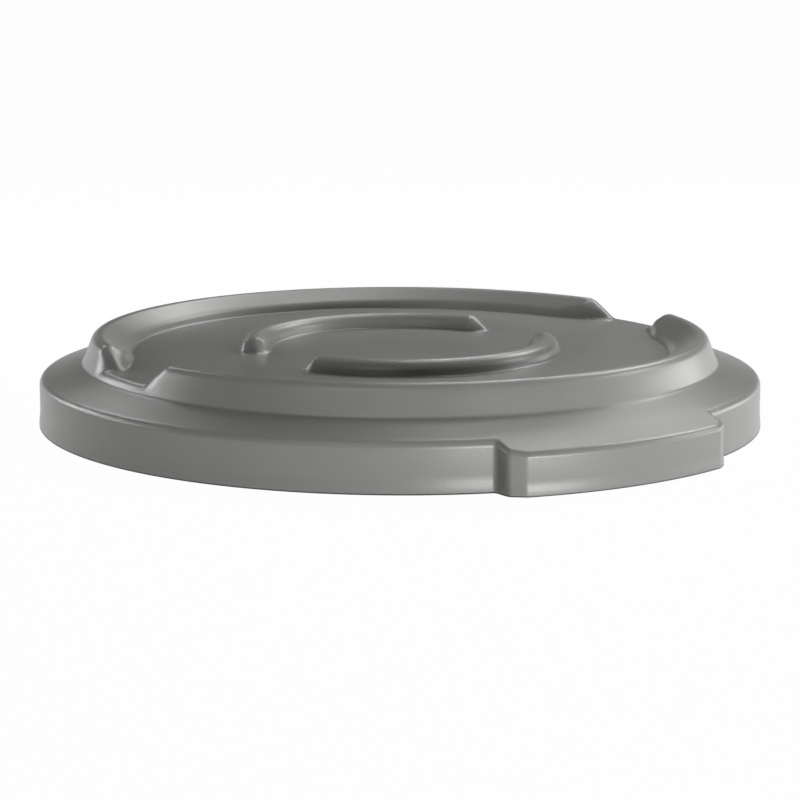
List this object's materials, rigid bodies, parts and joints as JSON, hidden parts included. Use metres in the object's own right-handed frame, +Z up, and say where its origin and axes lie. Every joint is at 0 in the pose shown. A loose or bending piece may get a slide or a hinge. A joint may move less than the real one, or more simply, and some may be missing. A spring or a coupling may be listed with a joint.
{
  "type": "waste container lid",
  "caption": "Round press-on lid of a waste container: flat deck with arc ribs, raised stacking ridge broken by drain gaps, sloping ledge, and a skirt that steps out over the container's handles.",
  "frame": {"origin": "centre of the lid at the bottom edge of its skirt, where it stands on a floor", "axes": "+Z up through the deck; -Y towards the front handle cover, +X towards the right drain gap"},
  "size_m": [0.565, 0.601, 0.0688],
  "materials": {
    "moulded_shell": "injection-moulded polyethylene with a fine satin grain",
    "inner_features": "the same polyethylene, smoother from the core of the mould"
  },
  "bodies": {
    "root": {"deck_centre": "moulded_shell", "deck_field": "moulded_shell", "deck_web_left": "moulded_shell", "deck_web_right": "moulded_shell", "centre_rib_front": "moulded_shell", "centre_rib_back": "moulded_shell", "stacking_ridge_front": "moulded_shell", "stacking_ridge_back": "moulded_shell", "drain_sill_left": "moulded_shell", "drain_sill_right": "moulded_shell", "rim_ledge": "moulded_shell", "skirt_left": "moulded_shell", "skirt_right": "moulded_shell", "handle_cover_front": "moulded_shell", "handle_cover_back": "moulded_shell", "rim_seat_ring": "inner_features", "snap_lug_1": "inner_features", "snap_lug_2": "inner_features", "snap_lug_3": "inner_features", "snap_lug_4": "inner_features", "snap_lug_5": "inner_features", "snap_lug_6": "inner_features", "snap_lug_7": "inner_features", "snap_lug_8": "inner_features"}
  },
  "joints": []
}
